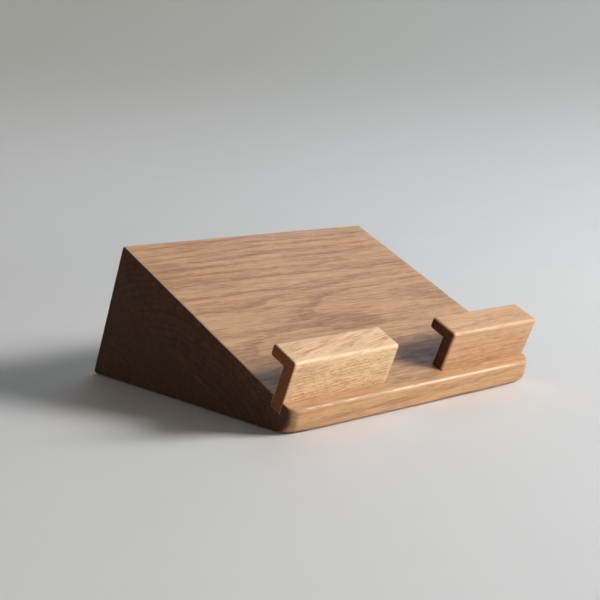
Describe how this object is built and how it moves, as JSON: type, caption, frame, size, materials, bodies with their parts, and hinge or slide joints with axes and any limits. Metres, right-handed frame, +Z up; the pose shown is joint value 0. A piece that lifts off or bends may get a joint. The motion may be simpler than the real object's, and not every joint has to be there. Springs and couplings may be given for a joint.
{
  "type": "tablet stand",
  "caption": "Solid oak wedge that holds a tablet at a low slope, with two hooks let into its front edge over the tablet's rim.",
  "frame": {"origin": "on the table, below the middle of the whole stand", "axes": "+Z up, -Y towards the front, where the hooks stand, +X to the right as seen from the front"},
  "size_m": [0.1504, 0.154, 0.0658],
  "materials": {
    "wedge_oak": "oiled oak, satin",
    "left_hook_oak": "oiled oak, satin, paler",
    "right_hook_oak": "oiled oak, satin, redder",
    "pad_rubber": "matt black"
  },
  "bodies": {
    "root": {"top_board": "wedge_oak", "middle_board": "wedge_oak", "bottom_board": "wedge_oak", "left_hook": "left_hook_oak", "right_hook": "right_hook_oak", "front_left_pad": "pad_rubber", "front_right_pad": "pad_rubber", "back_left_pad": "pad_rubber", "back_right_pad": "pad_rubber"}
  },
  "joints": []
}
